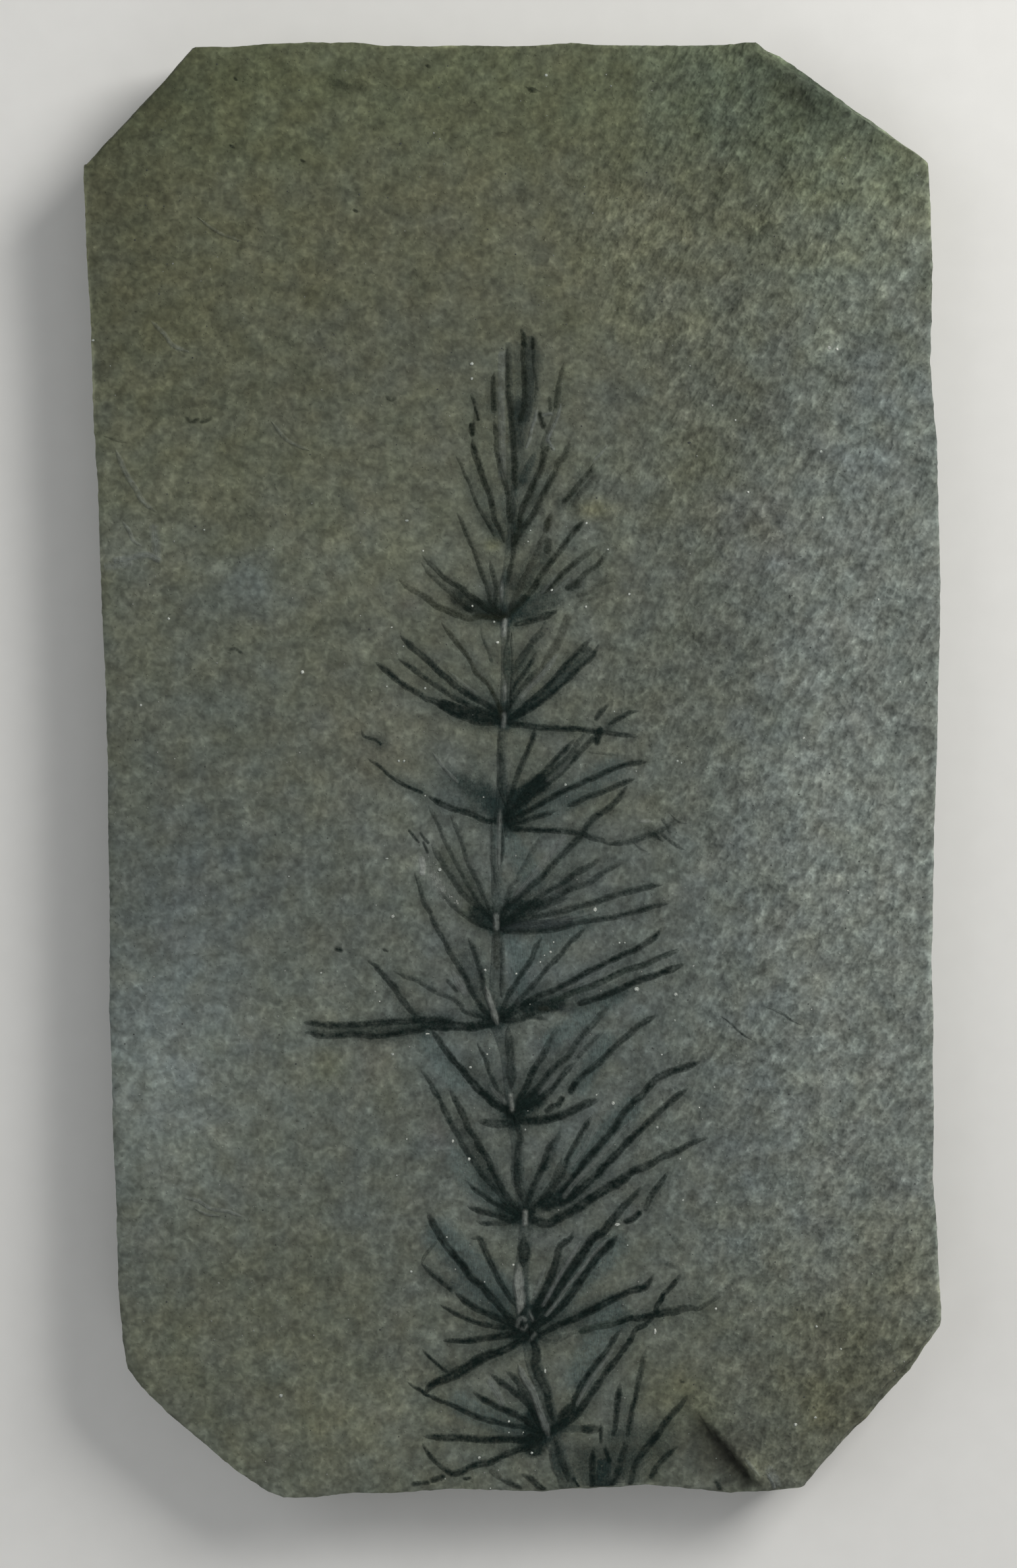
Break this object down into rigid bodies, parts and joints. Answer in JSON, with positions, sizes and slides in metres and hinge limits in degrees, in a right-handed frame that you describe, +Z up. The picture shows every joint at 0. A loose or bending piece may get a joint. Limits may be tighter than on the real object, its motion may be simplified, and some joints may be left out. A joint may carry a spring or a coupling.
{
  "type": "fossil horsetail plate",
  "caption": "Thin trimmed plate of dark shale with cut corners; a fossil horsetail branch, its stem and whorls of needle leaves pressed as dark carbon film into the upper face.",
  "frame": {"origin": "under the middle of the plate's outline, on the flat cleaved back that it lies on", "axes": "+Y along the plate's length towards the tip of the plant, +X across it to the right as seen from above, +Z up out of the fossil face"},
  "size_m": [0.0944, 0.1602, 0.0093],
  "materials": {
    "shale": "matt cleaved dark grey-green shale with near-black carbon film leaves"
  },
  "bodies": {
    "root": {"shale_plate": "shale"}
  },
  "joints": []
}
